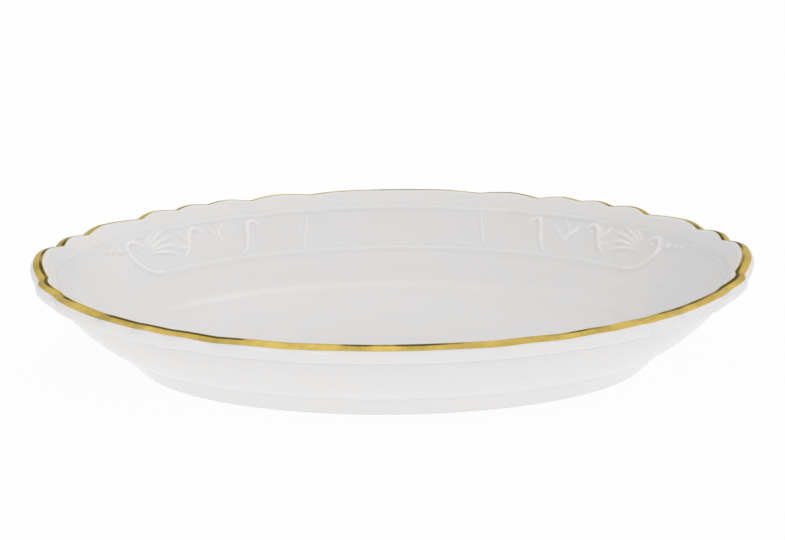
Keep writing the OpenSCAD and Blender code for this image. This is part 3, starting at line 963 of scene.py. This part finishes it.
# Strength of the painted shade beside the strokes, partly pooled glaze
RELIEF_POOL_SHADE = 0.3
SHELL_HUB = [33.6, 0.44]
RIB_COUNT = 5
RIB_LENGTH = 23.0
RIB_BREADTH = 1.75
FIRST_RIB = -14.0
RIB_TURN = 13.0
# One rib of a length of 1, and how its breadth swells along it: a sine of this much turn from this start
RIB_CURVE = {"Resolution": 24, "Start": (0.3, 0, 0), "Middle": (0.62, 0.07, 0), "End": (1, 0, 0)}
RIB_SWELL = (2.3, 0.55)
STROKE_STEP = 0.25
THINNEST_STROKE = 0.05
# Where the painted shade beside a stroke lies, partly pooled glaze, as a share of its half breadth, and how
# far that shade reaches
POOL_SHADE_PLACE = 0.9
POOL_SHADE_REACH = 0.9
# The panel's own lift over the wall, the width over which it fades out and the depth of its hidden side
PANEL_LIFT = 0.02
PANEL_FADE = 1.2
PANEL_DEPTH = 0.6


def arc_lengths():
    """Angles and the distance along the oval at the middle of the relief."""
    angles = np.linspace(0, 90, 1801)
    inset = inside(BORDER_PLACE / 2)[0]
    turn = np.radians(angles)
    speed = np.hypot((LENGTH / 2 - inset) * np.sin(turn), (WIDTH / 2 - inset) * np.cos(turn))
    steps = 0.5 * (speed[1:] + speed[:-1]) * np.diff(turn)
    return angles, np.concatenate([[0], np.cumsum(steps)])


ARC_ANGLES, ARC_ALONG = arc_lengths()
RELIEF_HIGH = float(distance_of_share(relief_share(0)))
RELIEF_DEEP = RELIEF_HIGH - float(distance_of_share(relief_share(1)))


def on_panel(angle, share):
    """Flat place of an angle and a share of the relief: x along the oval, y down the wall."""
    return float(np.interp(angle, ARC_ANGLES, ARC_ALONG)), -share * RELIEF_DEEP


def stroke_drawing():
    """A curve object that holds every stroke and pearl of a cartouche, with half breadths as radii."""
    drawing = bpy.data.curves.new("strokes", "CURVE")
    drawing.dimensions = "3D"
    runs = []
    for stroke in STROKES:
        runs.append(through([[*on_panel(a, s), b] for a, s, b in stroke], 8))
    for a, s, b in PEARLS:
        x, y = on_panel(a, s)
        runs.append(np.array([[x - PEARL_REACH, y, b], [x, y, b], [x + PEARL_REACH, y, b]]))
    for points in runs:
        spline = drawing.splines.new("POLY")
        spline.points.add(len(points) - 1)
        for point, (x, y, b) in zip(spline.points, points):
            point.co = (x, y, 0, 1)
            point.radius = b
    return put("strokes", drawing)


def raised_panel():
    """The relief of one quarter: its grid of angles and distances, and the lift and the painted shade and
    highlight at every point.
    """
    x_from = on_panel(PANEL_FROM, 0)[0]
    x_to = on_panel(PANEL_TO, 0)[0]
    top = PANEL_TOP * RELIEF_DEEP
    low = PANEL_LOW * RELIEF_DEEP
    xs = np.linspace(x_from, x_to, int((x_to - x_from) / PANEL_STEP))
    ys = np.linspace(top, low, int((low - top) / PANEL_STEP))
    grid_x = np.tile(xs, len(ys))
    grid_y = np.repeat(ys, len(xs))
    edge = np.minimum.reduce([grid_x - xs[0], xs[-1] - grid_x, grid_y - ys[0], ys[-1] - grid_y])
    columns = {"angle": np.interp(grid_x, ARC_ALONG, ARC_ANGLES), "inset": grid_y, "height": 0 * grid_y,
               "pull": 0 * grid_y, "flat_x": grid_x, "flat_y": -grid_y}
    mesh = lay_out("panel", columns, grid_faces(len(ys), len(xs), False, False))
    drawing = stroke_drawing()
    raised = grow("raised panel", mesh, relief_tree(), {
        "Strokes": drawing, "Rib Count": RIB_COUNT, "Hub": (*on_panel(*SHELL_HUB), 0.0),
        "Rib Length": RIB_LENGTH, "Rib Breadth": RIB_BREADTH, "First Rib": FIRST_RIB, "Rib Turn": RIB_TURN,
        "Rise": RELIEF_RISE, "Pool Shade": RELIEF_POOL_SHADE, "Softening": 3, "Material": GLAZED})
    bpy.data.objects.remove(drawing)
    values = {}
    for key in ("lift", "pool"):
        found = np.zeros(len(raised.vertices), np.float32)
        raised.attributes[key].data.foreach_get("value", found)
        values[key] = found * np.clip(edge / PANEL_FADE, 0, 1)
    bpy.data.meshes.remove(raised)
    return columns["angle"], RELIEF_HIGH - grid_y, values["lift"], values["pool"], len(ys), len(xs)


PANEL = raised_panel()


def cartouche(node, mirrored, turned):
    """One quarter's relief, closed by a copy of its grid beneath the wall."""
    angles, distances, lift, pool, rows, cols = PANEL
    if mirrored:
        angles = 180 - angles
    if turned:
        angles = angles + 180
    base = surface_at(distances)
    columns = {key: np.tile(base[:, k], 2) for k, key in enumerate(PROFILE_VALUES)}
    columns["angle"] = np.tile(angles, 2)
    columns["lift"] = np.concatenate([lift + PANEL_LIFT, np.full(len(lift), -PANEL_DEPTH)])
    columns["pool"] = np.tile(pool, 2)
    count = rows * cols
    faces = grid_faces(rows, cols, False, False)
    faces += [tuple(reversed(f)) for f in grid_faces(rows, cols, False, False, count)]
    rim = list(range(cols)) + [r * cols + cols - 1 for r in range(1, rows)]
    rim += [(rows - 1) * cols + c for c in range(cols - 2, -1, -1)]
    rim += [r * cols for r in range(rows - 2, 0, -1)]
    for a, b in zip(rim, rim[1:] + rim[:1]):
        faces.append((b, a, a + count, b + count))
    return wrap(node + "_relief", columns, faces, GLAZED, node)


shell()
foot()
bead_line()
side_borders()
gold_line()
cartouche("cartouche_back_right", False, False)
cartouche("cartouche_back_left", True, False)
cartouche("cartouche_front_left", False, True)
cartouche("cartouche_front_right", True, True)


# ---- floor, light and camera ----

STAGE_RADIUS = 3.0
STAGE_SIDES = 64
FLOOR_GLOW = 0.9
FLOOR_TONE = 0.1

# Brightness of the tent in bands of height, as the sine of the elevation at which a band starts, peaks
# and ends, with a tone for each side
SKY = [(-1.0, 0.15, 0.5, {"front": 1.4, "right": 0.7, "back": 0.95, "left": 0.65}),
       (0.15, 0.5, 0.85, {"front": 1.2, "right": 1.95, "back": 0.5, "left": 0.9}),
       (0.5, 0.85, 0.85, {"round": 0.97})]

# Each lamp's place, the point it is aimed at, its size and its power
LAMPS = {"key": ((-0.3, -0.65, 0.62), (0, 0, 0), (0.22, 0.22), 0.6),
         "overhead": ((-0.35, 0.5, 0.9), (0, 0, 0), (0.9, 0.5), 0.4),
         "window": ((0.09, 0.52, 0.9), (0, 0.05, 0), (0.2, 0.3), 0.22)}
LAMP_WARMTH = (1.0, 0.965, 0.93)

# The camera stands back from the long side, a little to one side and with a slight tilt
VIEW_RISE = 0.330
VIEW_YAW = -0.016
VIEW_ROLL = -0.014
VIEW_DISTANCE = 1090.0
VIEW_LENS = 99.88
VIEW_AIM = (0.415, 47.75)


def stage_floor():
    """A round pale floor that glows a little, so that it stays as pale as the tent."""
    mesh = bpy.data.meshes.new("floor")
    turns = [k * 2 * math.pi / STAGE_SIDES for k in range(STAGE_SIDES)]
    around = [(STAGE_RADIUS * math.cos(turn), STAGE_RADIUS * math.sin(turn), 0) for turn in turns]
    mesh.from_pydata(around, [], [tuple(range(STAGE_SIDES))])
    material = bpy.data.materials.new("pale floor")
    tree = emptied(material)
    matt = place_node(tree, "ShaderNodeBsdfDiffuse", {"Color": (FLOOR_TONE, FLOOR_TONE, FLOOR_TONE, 1)})
    glow = place_node(tree, "ShaderNodeEmission", {"Color": (1, 1, 1, 1), "Strength": FLOOR_GLOW})
    both = place_node(tree, "ShaderNodeAddShader", {0: matt.outputs[0], 1: glow.outputs[0]})
    end = tree.nodes.new("ShaderNodeOutputMaterial")
    tree.links.new(both.outputs[0], end.inputs["Surface"])
    mesh.materials.append(material)
    put("floor", mesh)


def sky():
    """A soft tent whose brightness changes smoothly with height and direction."""
    world = bpy.data.worlds.new("studio")
    bpy.context.scene.world = world
    tree = emptied(world)
    do = partial(count_on, tree)
    direction = tree.nodes.new("ShaderNodeTexCoord").outputs["Generated"]
    part = place_node(tree, "ShaderNodeSeparateXYZ", {0: direction}).outputs
    square = do("MAXIMUM", do("SUBTRACT", 1.0, do("MULTIPLY", part[2], part[2])), 0.0)
    level = do("MAXIMUM", do("SQRT", square), 0.001)
    right = do("DIVIDE", part[0], level)
    back = do("DIVIDE", part[1], level)
    sides = {"right": right, "left": do("MULTIPLY", right, -1.0),
             "back": back, "front": do("MULTIPLY", back, -1.0)}
    total = 0.0
    for low, middle, high, tones in SKY:
        rising = between(tree, part[2], low, middle)
        falling = between(tree, part[2], middle, high, 1.0, 0.0) if high > middle else 1.0
        band = do("MINIMUM", rising, falling)
        ring = 0.0
        for side, tone in tones.items():
            if side == "round":
                ring = do("ADD", ring, tone)
                continue
            lobe = do("MAXIMUM", sides[side], 0.0)
            ring = do("MULTIPLY_ADD", do("MULTIPLY", lobe, lobe), tone, ring)
        total = do("MULTIPLY_ADD", band, ring, total)
    glow = place_node(tree, "ShaderNodeBackground", {"Strength": total})
    end = tree.nodes.new("ShaderNodeOutputWorld")
    tree.links.new(glow.outputs[0], end.inputs["Surface"])


def softbox(name, place, aim, size, power):
    """A rectangular lamp that is aimed at a point."""
    lamp = bpy.data.lights.new(name, "AREA")
    lamp.shape = "RECTANGLE"
    lamp.size = size[0]
    lamp.size_y = size[1]
    lamp.energy = power
    lamp.color = LAMP_WARMTH
    obj = put(name, lamp)
    obj.location = place
    obj.rotation_mode = "QUATERNION"
    obj.rotation_quaternion = (Vector(aim) - Vector(place)).to_track_quat("-Z", "Y")


def camera():
    """The view from the near side. VIEW_AIM is how far across and how high it is aimed."""
    data = bpy.data.cameras.new("camera")
    data.lens = VIEW_LENS
    data.sensor_width = 36
    data.clip_start = 0.05
    data.clip_end = 50
    obj = put("camera", data)
    across, height = VIEW_AIM
    back = -VIEW_DISTANCE * math.cos(VIEW_RISE)
    c, s = math.cos(VIEW_YAW), math.sin(VIEW_YAW)
    obj.location = Vector((c * across + s * back, -s * across + c * back,
                           height + VIEW_DISTANCE * math.sin(VIEW_RISE))) * MM
    forward = Vector((s * math.cos(VIEW_RISE), c * math.cos(VIEW_RISE), -math.sin(VIEW_RISE)))
    turn = forward.to_track_quat("-Z", "Y")
    obj.rotation_mode = "QUATERNION"
    obj.rotation_quaternion = turn @ Quaternion((0, 0, 1), VIEW_ROLL)
    bpy.context.scene.camera = obj


stage_floor()
sky()
for lamp_name, lamp_values in LAMPS.items():
    softbox(lamp_name, *lamp_values)
camera()
bpy.context.scene.view_settings.view_transform = "Standard"
